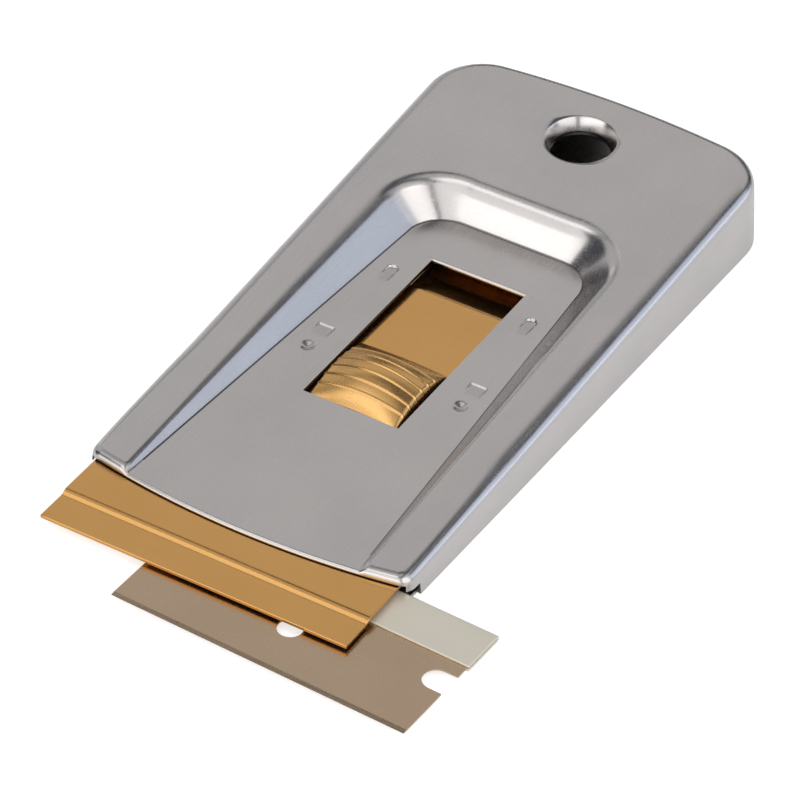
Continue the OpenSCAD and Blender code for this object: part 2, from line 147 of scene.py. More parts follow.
# %% [markdown]
# The mesh is then made of the outer faces, the same faces turned over one layer on, and a rim face on
# each border edge. It is shaded smooth except where two faces meet at more than a given angle. The
# rim is where the press sheared the sheet; its faces carry a 1 in an attribute that the finish reads
# later to paint them darker, as painted shade. A second material on the rim would do too, but one
# finish per piece is less to keep up.

# %% Mesh from a sheet
# The face attribute below marks faces that the finish darkens as painted shade.
SHADE_ATTRIBUTE = "painted_shade"


def make_mesh(name, points, faces, smooth_angle):
    """A mesh object at the origin from points in millimetres; faces turned outwards."""
    mesh = bpy.data.meshes.new(name)
    mesh.from_pydata((np.asarray(points) * MM).tolist(), [], faces)
    work = bmesh.new()
    work.from_mesh(mesh)
    bmesh.ops.recalc_face_normals(work, faces=work.faces)
    work.to_mesh(mesh)
    work.free()
    mesh.shade_smooth()
    mesh.set_sharp_from_angle(angle=math.radians(smooth_angle))
    piece = bpy.data.objects.new(name, mesh)
    bpy.context.scene.collection.objects.link(piece)
    print(name, len(mesh.vertices), "points", len(mesh.polygons), "faces")
    return piece


def sheet_piece(name, patches, smooth_angle=35):
    """A closed sheet: outer faces, inner faces one layer on, and a rim round every border."""
    outer, inner, fours, threes = sheet_faces(patches)
    n = len(outer)
    rim = rim_edges(fours, threes)
    rim = np.concatenate([rim, rim[:, ::-1] + n], axis=1)
    faces = [*fours.tolist(), *threes.tolist(), *(fours[:, ::-1] + n).tolist(),
             *(threes[:, ::-1] + n).tolist(), *rim.tolist()]
    piece = make_mesh(name, np.concatenate([outer, inner]), faces, smooth_angle)
    # Rim faces get a 1: the finish paints them darker, as painted shade.
    painted_shade = np.zeros(len(faces), np.float32)
    painted_shade[-len(rim):] = 1
    piece.data.attributes.new(SHADE_ATTRIBUTE, "FLOAT", "FACE").data.foreach_set("value", painted_shade)
    return piece


print("sheared rims are marked in the face attribute", SHADE_ATTRIBUTE)

# %% [markdown]
# ## Lines of the cover
# Seen from above the cover is a wedge with a bowed front, a bowed rear and round corners. Each
# corner arc touches its neighbours, so the outline has no kinks: the centres of a corner and of the
# bow beside it are as far apart as their radii differ. The top face and the sunk panel are two planes
# that rise to the rear, the top faster than the panel.

# %% Outline and planes
FRONT_Y, REAR_Y, LENGTH = -44.0, 44.0, 88.0
FRONT_W, REAR_W = 43.5, 46.0
FRONT_R, REAR_R, FRONT_CORNER, REAR_CORNER = 110.0, 140.0, 1.8, 7.5
SHEET, EDGE_R = 0.45, 1.4
PANEL_H, PANEL_RISE = 2.81, 0.0125
FRONT_H, TOP_RISE = 3.46, 6.48 / LENGTH

front_mid = FRONT_Y - (FRONT_R - math.sqrt(FRONT_R ** 2 - (FRONT_W / 2) ** 2))
front_c = front_mid + FRONT_R
rear_c = REAR_Y - REAR_R
lean_angle = math.atan((REAR_W - FRONT_W) / 2 / (LENGTH - REAR_CORNER))
front_x = FRONT_W / 2 - FRONT_CORNER
rear_x = REAR_W / 2 - REAR_CORNER
front_drop = math.sqrt((FRONT_R - FRONT_CORNER) ** 2 - front_x ** 2)
rear_drop = math.sqrt((REAR_R - REAR_CORNER) ** 2 - rear_x ** 2)
front_turn = math.atan2(front_x, front_drop)
rear_turn = math.atan2(rear_x, rear_drop)


def panel_z(y):
    """Height of the sunk panel: a plane that rises a little to the rear."""
    return PANEL_H + PANEL_RISE * (y - FRONT_Y)


def top_z(y):
    """Height of the top face: a plane that rises to the rear edge."""
    return FRONT_H + TOP_RISE * (y - FRONT_Y)


def arc(x, y, r, angles):
    """Points on an arc round (x, y), and the directions that point away from its centre.
    A direction is the cosine and the sine of its angle."""
    out = np.stack([np.cos(angles), np.sin(angles)], -1)
    return np.array([x, y]) + r * out, out


def bow(x):
    """How far the front edge, drawn in by the edge radius, lies behind its middle at a place x:
    the radius less the root of the radius squared less x squared."""
    r = FRONT_R - EDGE_R
    return r - np.sqrt(r ** 2 - x ** 2)


print("front middle", round(front_mid, 3), "sides lean", round(math.degrees(lean_angle), 2), "deg")

# %% [markdown]
# ## Grid lines of the sunk panel
# The panel carries a window, four pressed stops and two dimples. A grid shows a small form well only
# if its lines run close together there, so the rows and columns below are packed at these forms and
# wide elsewhere; an even grid as fine would have many times the faces. The first rows follow the
# bowed front edge and straighten out towards the window.

# %% Rows and columns
WINDOW_X, WINDOW_FRONT, WINDOW_REAR = 6.6, -21.05, 9.05
FOOT_FRONT, FOOT_TAPER, ROUNDS = 15.6, 3.55 / 56.3, 4

row_0 = front_mid + EDGE_R
lip_rows = row_0 + np.array([0, .12, .25, .4, .6, .8, 1.0, 1.25, 1.5, 1.9, 2.5])
front_rows = np.concatenate([np.linspace(-39.5, WINDOW_FRONT, 11), [-19.5, -18, -16.5]])
dimple_rows = np.arange(-15.0, -12.0, 0.1)
front_stop_rows = np.concatenate([np.arange(-11.8, -9.5, 0.2), np.arange(-9.4, -8.55, 0.05)])
middle_rows = np.concatenate([[-8.2, -7.6], np.linspace(-7, 0.6, 6)])
rear_stop_rows = np.concatenate([np.arange(1.6, 4.7, 0.2), np.arange(4.8, 5.95, 0.05)])
last_rows = [6.3, 6.9, 7.6, 8.3, WINDOW_REAR]
rows = np.concatenate([lip_rows, front_rows, dimple_rows, front_stop_rows, middle_rows,
                       rear_stop_rows, last_rows])
cols = np.concatenate([[0, 2.2, 4.4, WINDOW_X, 7.2, 7.9], np.linspace(8.4, 11.94, 46)])
beyond_cols = np.array([1 / 3, 2 / 3, 1.0])
row_bow = np.clip((WINDOW_FRONT - rows) / (WINDOW_FRONT - row_0), 0, 1)


def foot_x(y):
    """Half width of the panel at its foot line: it narrows evenly to the rear."""
    return FOOT_FRONT - FOOT_TAPER * (y - FRONT_Y)


# The foot's y takes the bow at its x, and its x follows from its y: a few rounds settle both.
side_y = rows + row_bow * bow(FOOT_FRONT)
for _ in range(ROUNDS):
    side_y = rows + row_bow * bow(foot_x(side_y))
side_foot = np.stack([foot_x(side_y), side_y], -1)
print("panel grid", len(rows), "rows", len(cols) + len(beyond_cols), "columns on each side")

# %% [markdown]
# ## The recess wall and the top face as one band
# Round the panel a wall climbs to the top face. A press leaves a tight bend at its foot and a wide one
# along its top. A bevel on a plain wall gives one radius everywhere, so we write the cross-section as
# line, arc, line, arc, line and carry it along the foot line of the panel. First come the stations of
# that line: up the side, round the rear corner and along the rear to the middle. The wall leans more
# at the sides than at the rear.

# %% Stations along the band
ARC_N, REAR_N, STRAIGHT_N = 22, 28, 4
RECESS_R, RECESS_REAR, RECESS_HALF = 5.0, 17.3, 12.05
LEAN_MIDDLE, LEAN_CHANGE = 0.74, 0.26
MARGIN_SIDE, MARGIN_MORE = 0.2, 0.3

straight_y = np.linspace(WINDOW_REAR, RECESS_REAR - RECESS_R, STRAIGHT_N + 1)[1:]
turn = np.linspace(0, math.pi / 2, ARC_N + 1)[1:]
bend, _ = arc(RECESS_HALF - RECESS_R, RECESS_REAR - RECESS_R, RECESS_R, turn)
back_x = np.linspace(RECESS_HALF - RECESS_R, 0, REAR_N + 1)[1:]
foot = np.concatenate([
    side_foot, np.stack([foot_x(straight_y), straight_y], -1), bend,
    np.stack([back_x, np.full(REAR_N, RECESS_REAR)], -1)])
angle = np.concatenate([np.zeros(len(rows) + STRAIGHT_N), turn, np.full(REAR_N, math.pi / 2)])
foot_out = np.stack([np.cos(angle), np.sin(angle)], -1)
wall_lean = LEAN_MIDDLE + LEAN_CHANGE * (foot_out[:, 0] - foot_out[:, 1])
margin = MARGIN_SIDE + MARGIN_MORE * foot_out[:, 1]
foot_bow = np.concatenate([row_bow, np.zeros(len(foot) - len(rows))])
print("stations along the foot line", len(foot))

# %% [markdown]
# Each station needs a partner on the cover's outline, so that the band between them does not twist.
# The outline starts at the front corner, where the lip of the mouth ends, and runs along the side,
# round the rear corner and along the bowed rear to the middle. Points at even distances would be
# simpler, but then the grid lines would fan out over the rails. The round outer edge is wider and
# deeper along the sides than in front, so its two sizes are set for each station too.

# %% Outline stations that face them
MOUTH_HALF, NOTCH_REAR, SIDE_PARTNER_Y = 21.3, -41.6, 14
LIP_N, TURN_N, CORNER_N = 6, 5, 11
WIDEN_FROM, WIDEN_RUN, WIDEN_AT_REAR = -40, 18, 0.25
EDGE_WIDER, EDGE_DEEPER = 0.9, 0.4

lip_turn = 2 * math.pi - math.acos((MOUTH_HALF - front_x) / FRONT_CORNER)
corner_turn = np.concatenate([
    np.linspace(1.5 * math.pi + front_turn, lip_turn, LIP_N),
    np.linspace(lip_turn, 2 * math.pi - lean_angle, TURN_N)[1:]])
corner, corner_out = arc(front_x, front_c - front_drop, FRONT_CORNER, corner_turn)
n_lip, n_notch = LIP_N - 1, len(corner)

far_circle = (rear_x, rear_c + rear_drop, REAR_CORNER)
far_turn = np.linspace(-lean_angle, math.pi / 2 - rear_turn, CORNER_N + 1)[1:]
far, far_out = arc(*far_circle, far_turn)
far_start, far_start_out = arc(*far_circle, np.array([-lean_angle]))
back_turn = np.linspace(math.pi / 2 - rear_turn, math.pi / 2, REAR_N + 1)[1:]
back, back_out = arc(0, rear_c, REAR_R, back_turn)

side_run = WINDOW_REAR - side_y[n_notch]
near_y = NOTCH_REAR + (side_y[n_notch:] - side_y[n_notch]) * (SIDE_PARTNER_Y - NOTCH_REAR) / side_run
last_n = STRAIGHT_N + ARC_N - CORNER_N
grip_y = np.concatenate([near_y, np.linspace(SIDE_PARTNER_Y, far_start[0, 1], last_n + 1)[1:]])
grip_x = far_start[0, 0] - (far_start[0, 1] - grip_y) * math.tan(lean_angle)
outline = np.concatenate([corner, np.stack([grip_x, grip_y], -1), far, back])
out = np.concatenate([corner_out, np.repeat(far_start_out, len(grip_y), axis=0), far_out, back_out])
widen = np.clip((outline[:, 1] - WIDEN_FROM) / WIDEN_RUN, 0, 1) ** 2 * (
    WIDEN_AT_REAR + (1 - WIDEN_AT_REAR) * out[:, 0])
edge_wide, edge_deep = EDGE_R + EDGE_WIDER * widen, EDGE_R + EDGE_DEEPER * widen
print("stations along the outline", len(outline))

# %% [markdown]
# The cross-section needs a small formula for a bend between two lines. Walking along the section, the
# heading turns from one line's angle to the next while we move on a circle; the place after a turn
# is the sum of the steps, which are sines and cosines of the heading. The bend starts before the
# corner of the two lines, by its radius times the tangent of half the turn.

# %% Bend
def bend_steps(r, start, end, steps):
    """Steps on a circle of radius r while the heading turns from start to end (angles, one each)."""
    a = start[:, None] + (end - start)[:, None] * np.linspace(0, 1, steps)
    way = np.sign(end - start)[:, None] * r[:, None]
    return np.stack([way * (np.sin(a) - np.sin(start)[:, None]),
                     way * (np.cos(start)[:, None] - np.cos(a))], -1)


def heading(a):
    """The direction of a line that climbs at an angle: its cosine and its sine."""
    return np.stack([np.cos(a), np.sin(a)], -1)


quarter_end = bend_steps(np.ones(1), np.zeros(1), np.full(1, math.pi / 2), 3)[0, -1]
print("a quarter bend of radius 1 ends at", np.round(quarter_end, 3))

# %% [markdown]
# With it we can write the whole section: panel, foot bend, wall, top bend and top face. The inner
# face uses the same lines moved in by the sheet, so the foot bend grows by the sheet and the top
# bend shrinks. Near the mouth the wall is too low for the wide top bend, so the bend takes no more
# than the room there is.

# %% Cross-section of the recess wall
FOOT_BEND, LEAST_BEND, BEND_ROOM = 0.35, 0.05, 0.97
TOP_BEND, TOP_BEND_MORE, TOP_BEND_FROM, TOP_BEND_RUN = 1.0, 2.0, -35, 45
FOOT_STEPS, WALL_STEPS, TOP_STEPS, DECK_START = 7, 6, 12, 0.4


def wall_section(wall):
    """Section (distance from the foot line, height) for each station; wall is 0 for the outer face.
    Panel, foot bend, leaning wall, top bend and top face, each line moved in by the sheet."""
    low = panel_z(foot[:, 1]) - wall
    high = top_z(foot[:, 1]) - wall
    m_low, m_high = PANEL_RISE * foot_out[:, 1], TOP_RISE * foot_out[:, 1]
    n_foot = wall * (np.sqrt(1 + wall_lean ** 2) - wall_lean)
    climb = 1 / wall_lean
    n_top = n_foot + (high + m_high * n_foot - low) / (climb - m_high)
    flat, steep, deck = np.arctan(m_low), np.arctan(climb), np.arctan(m_high)
    span = np.hypot(n_top - n_foot, (n_top - n_foot) * climb)
    foot_tan = np.tan((steep - flat) / 2)
    top_tan = np.tan((steep - deck) / 2)
    r_top = TOP_BEND + TOP_BEND_MORE * np.clip((foot[:, 1] - TOP_BEND_FROM) / TOP_BEND_RUN, 0, 1)
    r_top = np.minimum(r_top, BEND_ROOM * (span - FOOT_BEND * foot_tan) / top_tan)
    r_foot, r_top = np.full_like(span, FOOT_BEND + wall), np.maximum(r_top - wall, LEAST_BEND)
    flat_way, along, deck_way = heading(flat), heading(steep), heading(deck)
    c_foot = np.stack([n_foot, low + m_low * n_foot], -1)
    c_top = c_foot + along * span[:, None]
    a0 = c_foot - flat_way * (r_foot * foot_tan)[:, None]
    a1 = c_foot + along * (r_foot * foot_tan)[:, None]
    b0 = c_top - along * (r_top * top_tan)[:, None]
    b1 = c_top + deck_way * (r_top * top_tan)[:, None]
    share = np.linspace(0, 1, WALL_STEPS)[1:-1][None, :, None]
    return np.concatenate([
        (c_foot - flat_way * (margin + n_foot)[:, None])[:, None],
        a0[:, None] + bend_steps(r_foot, flat, steep, FOOT_STEPS),
        a1[:, None] * (1 - share) + b0[:, None] * share,
        b0[:, None] + bend_steps(r_top, steep, deck, TOP_STEPS),
        (b1 + DECK_START * deck_way)[:, None]], axis=1)


print("section of", wall_section(0.0).shape[1], "points at each station")

# %% [markdown]
# The section is stood on every station, square to the foot line. From its last point the top face
# runs on flat to the outer edge, in a few shares of the way. Near the mouth all grid lines have to
# follow the bowed front, so the bow is added to their y, in full at the lip and less towards the
# window.

# %% Band
DECK_STEPS = np.array([0.1, 0.24, 0.36, 0.5, 0.64, 0.78, 0.9, 0.955, 1.0])


def band(wall):
    """Points of the band: foot plus distance times direction, then straight on to the edge."""
    section = wall_section(wall)
    n, z = section[..., 0], section[..., 1]
    x = foot[:, None, 0] + n * foot_out[:, None, 0]
    y = foot[:, None, 1] + n * foot_out[:, None, 1] + foot_bow[:, None] * (bow(x) - bow(foot[:, :1]))
    goal = outline - edge_wide[:, None] * out
    q = DECK_STEPS[None, :]
    deck_x = (1 - q) * x[:, -1:] + q * goal[:, :1]
    deck_y = (1 - q) * y[:, -1:] + q * goal[:, 1:]
    deck_y += foot_bow[:, None] * (bow(deck_x) - (1 - q) * bow(x[:, -1:]) - q * bow(goal[:, :1]))
    deck_z = top_z(deck_y) - wall
    return np.stack([np.concatenate([x, deck_x], 1), np.concatenate([y, deck_y], 1),
                     np.concatenate([z, deck_z], 1)], -1)


band_out, band_in = band(0.0), band(SHEET)
n_section = band_out.shape[1] - len(DECK_STEPS)
print("band", band_out.shape[:2], "points on each side")

# %% [markdown]
# ## The pressed stops and dimples
# The stops are tongues pressed down so that they hang in slots of the carrier. Each is a pocket with
# a ramp on its front side and a steep wall at its rear. A Boolean could cut them, but a depth that is
# taken off the panel's height keeps the sheet whole. It is the ramp times a smooth step that goes
# from 0 at the pocket's border to 1 a little inside. A round dimple is a cosine bowl on the outer
# face and the cap of a sphere on the inner one. The inner forms are wider by the sheet.

# %% Pockets
# Each stop: middle in x, rear border in y, width, length of ramp, corner radius, outer depth.
STOPS = [(9.8, 5.6, 1.7, 3.6, 0.8, 0.32), (10.65, -8.9, 2.5, 2.4, 0.3, 0.22)]
STOP_FLOOR, POCKET_SOFT = 2.48, 0.28
# The dimple: middle in x and y, radius, depth.
DIMPLE = (10.65, -13.5, 1.15, 0.35)


def smooth_step(t):
    """Runs from 0 to 1 with level ends: three times t squared less twice t cubed."""
    t = np.clip(t, 0, 1)
    return t * t * (3 - 2 * t)


def pocket_drop(x, y, wall):
    """How far the panel is pressed down at (x, y): the deepest of the pockets there.
    A stop's border is a box with round corners, and inside is the distance in from it."""
    drop = np.zeros_like(x)
    for px, py, width, ramp, round_r, dent in STOPS:
        side = np.abs(x - px) - (width / 2 + wall - round_r)
        end = y - (py + wall - round_r)
        inside = round_r - np.hypot(np.maximum(side, 0), np.maximum(end, 0)) - np.minimum(
            np.maximum(side, end), 0)
        deep = dent if wall == 0 else panel_z(py) - STOP_FLOOR
        deep = deep * np.clip((y - py + ramp) / ramp, 0, 1)
        drop = np.maximum(drop, deep * smooth_step(inside / POCKET_SOFT))
    px, py, r, deep = DIMPLE
    away_from = np.hypot(x - px, y - py)
    if wall == 0:
        bowl = deep * (0.5 + 0.5 * np.cos(math.pi * np.clip(away_from / r, 0, 1)))
    else:
        ball = (r ** 2 + deep ** 2) / (2 * deep) + wall
        bowl = np.sqrt(np.maximum(ball ** 2 - away_from ** 2, 0)) - (ball - deep)
    return np.maximum(drop, np.where(away_from < r + 2 * wall, bowl, 0))


dimple_deep = pocket_drop(np.array([DIMPLE[0]]), np.array([DIMPLE[1]]), 0.0)
print(len(STOPS), "stops and a dimple", round(float(dimple_deep[0]), 2), "mm deep on each side")

# %% [markdown]
# ## The sunk panel
# One half of the panel is the grid of the rows and columns above, and the other half is its mirror
# image. The last columns stretch to the border of the band. The cells in the window are left out, and
# what lies behind the window is a fan of straight lines to the band. A punch draws the sheet down a
# little as it enters, so the window's rear edge rolls over: a bevel would round its ends as well.

# %% Panel
RIM_ROLL, RIM_FALL, TOUCH = 0.34, 0.32, 0.01
FAN_STEPS = np.array([0, 0.002, 0.006, 0.012, 0.02, 0.03, 0.042, 0.1, 0.25, 0.4, 0.55, 0.7, 0.85, 1])


def panel(wall, border):
    """Grid of the panel's half, with its last column on the band's border.
    y is the row plus its share of the bow, z is the plane less the sheet and the pockets."""
    x = np.broadcast_to(cols, (len(rows), len(cols)))
    wide = cols[-1] + (border[:len(rows), :1] - cols[-1]) * beyond_cols
    x = np.concatenate([x, wide], axis=1)
    y = rows[:, None] + row_bow[:, None] * bow(x)
    z = panel_z(y) - wall - pocket_drop(x, y, wall)
    grid = np.stack([x, y, z], -1)
    grid[:, -1] = border[:len(rows)]
    return grid


def panel_rear(grid, border, fall_by):
    """The part behind the window: straight lines from the last row to the band's border.
    The window's rear edge rolls over: its height falls along a quarter circle."""
    start, end = grid[-1, ::-1], border[len(rows) - 1:]
    t = FAN_STEPS[:, None, None]
    fan = (1 - t) * start + t * end
    near = np.clip((fan[..., 1] - WINDOW_REAR) / RIM_ROLL, 0, 1)
    fan[..., 2] -= (start[:, 0] < WINDOW_X + TOUCH) * fall_by * (1 - np.sqrt(1 - (1 - near) ** 2))
    return fan


panel_out, panel_in = panel(0.0, band_out[:, 0]), panel(SHEET, band_in[:, 0])
rear_out = panel_rear(panel_out, band_out[:, 0], RIM_FALL)
rear_in = panel_rear(panel_in, band_in[:, 0], 0.0)
cell_x = (panel_out[:-1, :-1, 0] + panel_out[1:, 1:, 0]) / 2
cell_y = (panel_out[:-1, :-1, 1] + panel_out[1:, 1:, 1]) / 2
no_window = ~((cell_x < WINDOW_X) & (cell_y > WINDOW_FRONT))
print("panel", panel_out.shape[:2], "window cells left out:", int((~no_window).sum()))

# %% [markdown]
# ## The side walls
# Below the round outer edge a plain wall goes down to the base. It flares out a little, because a
# drawn cup has to come off its punch, and more towards the rear, where it is higher. In front it is
# cut back for the mouth. Extruding the edge would give a straight wall, so we lower copies of the
# edge's last point and move each one out by its share of the flare.

# %% Side wall
NOTCH_H, FOOT_FLARE, FLARE_BELOW, REAR_WALL_H = 1.5, 0.599, 5.0, 8.54
WALL_SHARES, FOOT_SHARES = np.array([1 / 3, 2 / 3, 1.0]), np.array([0.5, 0.0])

wall_flare = FOOT_FLARE * (1 + FLARE_BELOW / REAR_WALL_H)


def wall_below(last, n_front):
    """Rows of the side wall under the edge's last point: down to the notch's height, then to the foot.
    Behind the front, a point moves out by the flare times its share of the way down."""
    down = np.repeat(last, len(WALL_SHARES) + len(FOOT_SHARES), axis=1)
    n = len(WALL_SHARES)
    down[..., :n, 2] = (1 - WALL_SHARES) * last[..., 2] + WALL_SHARES * NOTCH_H
    down[..., n:, 2] = NOTCH_H * FOOT_SHARES
    high = top_z(down[..., 1]) - EDGE_R
    flare = wall_flare * np.maximum(high - down[..., 2], 0) / (high + FLARE_BELOW)
    down[n_front:, :, :2] += out[1:, None] * flare[n_front:, :, None]
    return down


print("the rear wall flares by", FOOT_FLARE, "mm over", REAR_WALL_H, "mm")

# %% [markdown]
# ## The outer edge
# The top turns down into the side walls over a round edge. At the front the same edge is flatter: the
# rails nose down to the lip of the mouth. So the edge is a quarter ellipse whose height is the rail's
# height in front and the full radius at the sides, with a smooth change round the corner. A bevel
# can't change its height along the way like this.

# %% Edge strip
LIP_BEND, LIP_FALL, EDGE_STEPS = 0.42, 0.36, 17

fall = np.linspace(math.pi / 2, 0, EDGE_STEPS)
to_edge = EDGE_R * (1 - np.cos(fall))
lip_round = LIP_FALL * (1 - np.sqrt(1 - (1 - np.minimum(to_edge / LIP_BEND, 1)) ** 2))
corner_share = np.clip((corner_turn - corner_turn[0]) / (corner_turn[-1] - corner_turn[0]), 0, 1)
side_share = np.concatenate([smooth_step(corner_share), np.ones(len(outline) - len(corner))])


def edge_strip(wall, top_row):
    """Front lip, corner, side and rear edge, one column of points per station.
    The plan moves out by the cosine of the turn and the height falls by its sine; in front the last
    bit of the outer face also rolls over the edge of the sheet."""
    lip = lip_round if wall == 0 else 0 * lip_round
    reach = top_row[:, :2] - np.array([0, front_c])
    reach = reach / np.linalg.norm(reach, axis=1, keepdims=True)
    plan = top_row[:, None, :2] + reach[:, None] * (EDGE_R * np.cos(fall))[None, :, None]
    rise = top_row[:, 2] - (panel_z(top_row[:, 1]) - wall)
    z = panel_z(plan[..., 1]) - wall + rise[:, None] * np.sin(fall) - lip
    front = np.concatenate([plan, z[..., None]], -1)
    b = side_share[1:, None]
    wide, deep = edge_wide[1:, None], edge_deep[1:, None]
    rim = outline[1:, None] - out[1:, None] * (wide - (wide - wall * b) * np.cos(fall))[..., None]
    drop = b * (deep - wall) + (1 - b) * (top_z(rim[..., 1]) - panel_z(rim[..., 1]))
    z = top_z(rim[..., 1]) - wall - drop * (1 - np.sin(fall)) - (1 - b) * lip
    strip = np.concatenate([front, np.concatenate([rim, z[..., None]], -1)])
    return np.concatenate([strip, wall_below(strip[:, -1:], len(top_row))], axis=1)


def front_row(panel_grid, band_grid):
    """Points along the front, one edge radius behind it: panel columns, then the band's section."""
    return np.concatenate([panel_grid[0], band_grid[0, 1:]])


lip_out, lip_in = front_row(panel_out, band_out), front_row(panel_in, band_in)
edge_out, edge_in = edge_strip(0.0, lip_out), edge_strip(SHEET, lip_in)
edge_out[len(lip_out):, 0] = band_out[1:, -1]
edge_in[len(lip_in):, 0] = band_in[1:, -1]
station = np.arange(edge_out.shape[0] - 1)[:, None] - (len(lip_out) - 1)
depth = np.arange(edge_out.shape[1] - 1)[None]
over_notch = (station >= n_lip) & (depth < EDGE_STEPS + len(WALL_SHARES) - 1)
edge_keep = (depth < EDGE_STEPS - 1) | over_notch | (station >= n_notch)
print("edge strip", edge_out.shape[:2])

# %% [markdown]
# ## The hanging hole
# The hole's lip is rolled down into a short collar. A block of band cells is left out round it; its
# border is joined to the lip's circle by straight lines in the flat top, and the lip itself is a
# soft quarter turn carried round the hole's axis, which stands square to the sloping top. A Boolean
# with a cylinder would leave a sharp edge, and the roll is what catches the light.

# %% Rolled hole
HOLE_Y, HOLE_R, LIP_WIDE, LIP_DEEP, COLLAR = 34.1, 3.85, 0.8, 1.8, 2.3
GAP_FIRST, GAP_LAST = 1, 7
RING_STEPS, ROLL_STEPS, COLLAR_STEPS = np.array([0, 0.3, 0.55, 0.75, 0.9]), 13, 3
ROLL_POWER = 1.8

tilt = math.atan(TOP_RISE)
hole_c = np.array([0, HOLE_Y, top_z(HOLE_Y)])
hole_along = np.array([0, math.cos(tilt), math.sin(tilt)])
hole_up = np.array([0, -math.sin(tilt), math.cos(tilt)])
s_0, t_0, t_1 = len(foot) - 1 - REAR_N, n_section + GAP_FIRST, n_section + GAP_LAST


def hole_patch(grid, wall):
    """Half ring from the band's gap to the lip's circle, then the roll and the collar.
    The roll goes in by a power of the sine and down by 1 less the same power of the cosine."""
    ring = np.concatenate([grid[:s_0:-1, t_0], grid[s_0, t_0:t_1], grid[s_0:, t_1]])
    local = ring - hole_c
    turn_by = np.arctan2(local @ hole_along, local[:, 0])
    ray = np.cos(turn_by)[:, None] * np.array([1.0, 0, 0]) + np.sin(turn_by)[:, None] * hole_along
    t = RING_STEPS[:, None, None]
    mouth = hole_c + ray * (HOLE_R + LIP_WIDE) - hole_up * wall
    flat = (1 - t) * ring + t * mouth
    roll = np.linspace(0, math.pi / 2, ROLL_STEPS)
    inwards, downwards = np.sin(roll) ** ROLL_POWER, 1 - np.cos(roll) ** ROLL_POWER
    r = np.concatenate([HOLE_R + LIP_WIDE - (LIP_WIDE - wall) * inwards,
                        np.full(COLLAR_STEPS, HOLE_R + wall)])
    z = np.concatenate([-wall - (LIP_DEEP - wall) * downwards,
                        np.linspace(-LIP_DEEP, -COLLAR, COLLAR_STEPS + 1)[1:]])
    lip = hole_c + ray[None] * r[:, None, None] + hole_up * z[:, None, None]
    return np.concatenate([flat, lip])


hole_out, hole_in = hole_patch(band_out, 0.0), hole_patch(band_in, SHEET)
band_keep = np.ones((band_out.shape[0] - 1, band_out.shape[1] - 1), bool)
band_keep[s_0:, t_0:t_1] = False
print("hole ring", hole_out.shape[:2])

# %% [markdown]
# ## The cover in one piece
# On the real tool all these forms are pressed into one blank, so they become one mesh: the five
# patches of one half and their mirror images, welded along the borders that they share. A Mirror
# modifier would do the second half too, but the weld has to see both. The cover rides on the housing
# and stands for the plain cover of the CAD model.

# %% Cover
COVER_SMOOTH = 62

half = [(panel_out, panel_in, no_window), (rear_out, rear_in, None), (band_out, band_in, band_keep),
        (edge_out, edge_in, edge_keep), (hole_out, hole_in, None)]
cover = sheet_piece("cover", half + [mirrored(p) for p in half], COVER_SMOOTH)
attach(cover, "housing")
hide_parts("top_shell")

# %% [markdown]
# ## The dark line round the panel
# A thin dark line runs round the panel at the foot of the recess wall. It is painted shade, standing
# in for the shade in the tight bend there. It could be painted with a mask in the material, but the
# mesh already knows where the bend is: the faces that rise just a little over the panel. They get a
# share of the attribute that the sheared rims have, and the finish darkens them by it.

# %% Foot line
LINE_LOW, LINE_TOP, FOOT_SHADE_SHARE = 0.002, 0.12, 0.8
LINE_BESIDE, LINE_REAR = 0.6, 18.5

faces = cover.data.polygons
centre = np.empty(3 * len(faces), np.float32)
faces.foreach_get("center", centre)
centre = centre.reshape(-1, 3) / MM
above = centre[:, 2] - panel_z(centre[:, 1])
near = (np.abs(centre[:, 0]) < FOOT_FRONT + LINE_BESIDE) & (
    centre[:, 1] > NOTCH_REAR) & (centre[:, 1] < LINE_REAR)
# These faces are darkened by the finish: a painted shade line in the foot bend.
line = near & (above > LINE_LOW) & (above < LINE_TOP)
shade_shares = np.empty(len(faces), np.float32)
cover.data.attributes[SHADE_ATTRIBUTE].data.foreach_get("value", shade_shares)
shade_shares[line] = FOOT_SHADE_SHARE
cover.data.attributes[SHADE_ATTRIBUTE].data.foreach_set("value", shade_shares)
print("foot line", int(line.sum()), "faces")

# %% [markdown]
# ## The carrier
# The carrier is a flat plated strip. Near its front edge it steps down from the height of the blade's
# spine to that of the thin blade, and behind the button a leaf between two slits is pressed down. A
# box with bevels would show both, but a folding tool leaves bends of different radius above and
# below. So both are heights along y: line, bend, slope, bend and line.

# %% Carrier profile
CARRIER_TOP, CARRIER_T, STEP_H = 2.23, 0.45, 0.42
CARRIER_FRONT, STEP_FOOT, STEP_HEAD = -55.45, -51.18, -50.32
LOW_BEND, HIGH_BEND, LOW_STEPS, HIGH_STEPS = 0.4, 2.0, 7, 9
LEAF_Y, LEAF_H, LEAF_RUN, LEAF_SOFT = 4.55, 1.1, 3.6, 0.12


def step_profile():
    """Carrier height along y: low line, bend, slope, bend, high line."""
    slope = math.atan2(STEP_H, STEP_HEAD - STEP_FOOT)
    reach = math.tan(slope / 2)
    way = np.array([math.cos(slope), math.sin(slope)])
    a = np.array([STEP_FOOT, CARRIER_TOP - STEP_H])
    b = np.array([STEP_HEAD, CARRIER_TOP])
    one, zero = np.array([slope]), np.array([0.0])
    low = a - [LOW_BEND * reach, 0] + bend_steps(np.array([LOW_BEND]), zero, one, LOW_STEPS)[0]
    high = b - HIGH_BEND * reach * way + bend_steps(np.array([HIGH_BEND]), one, zero, HIGH_STEPS)[0]
    return np.concatenate([low, high])


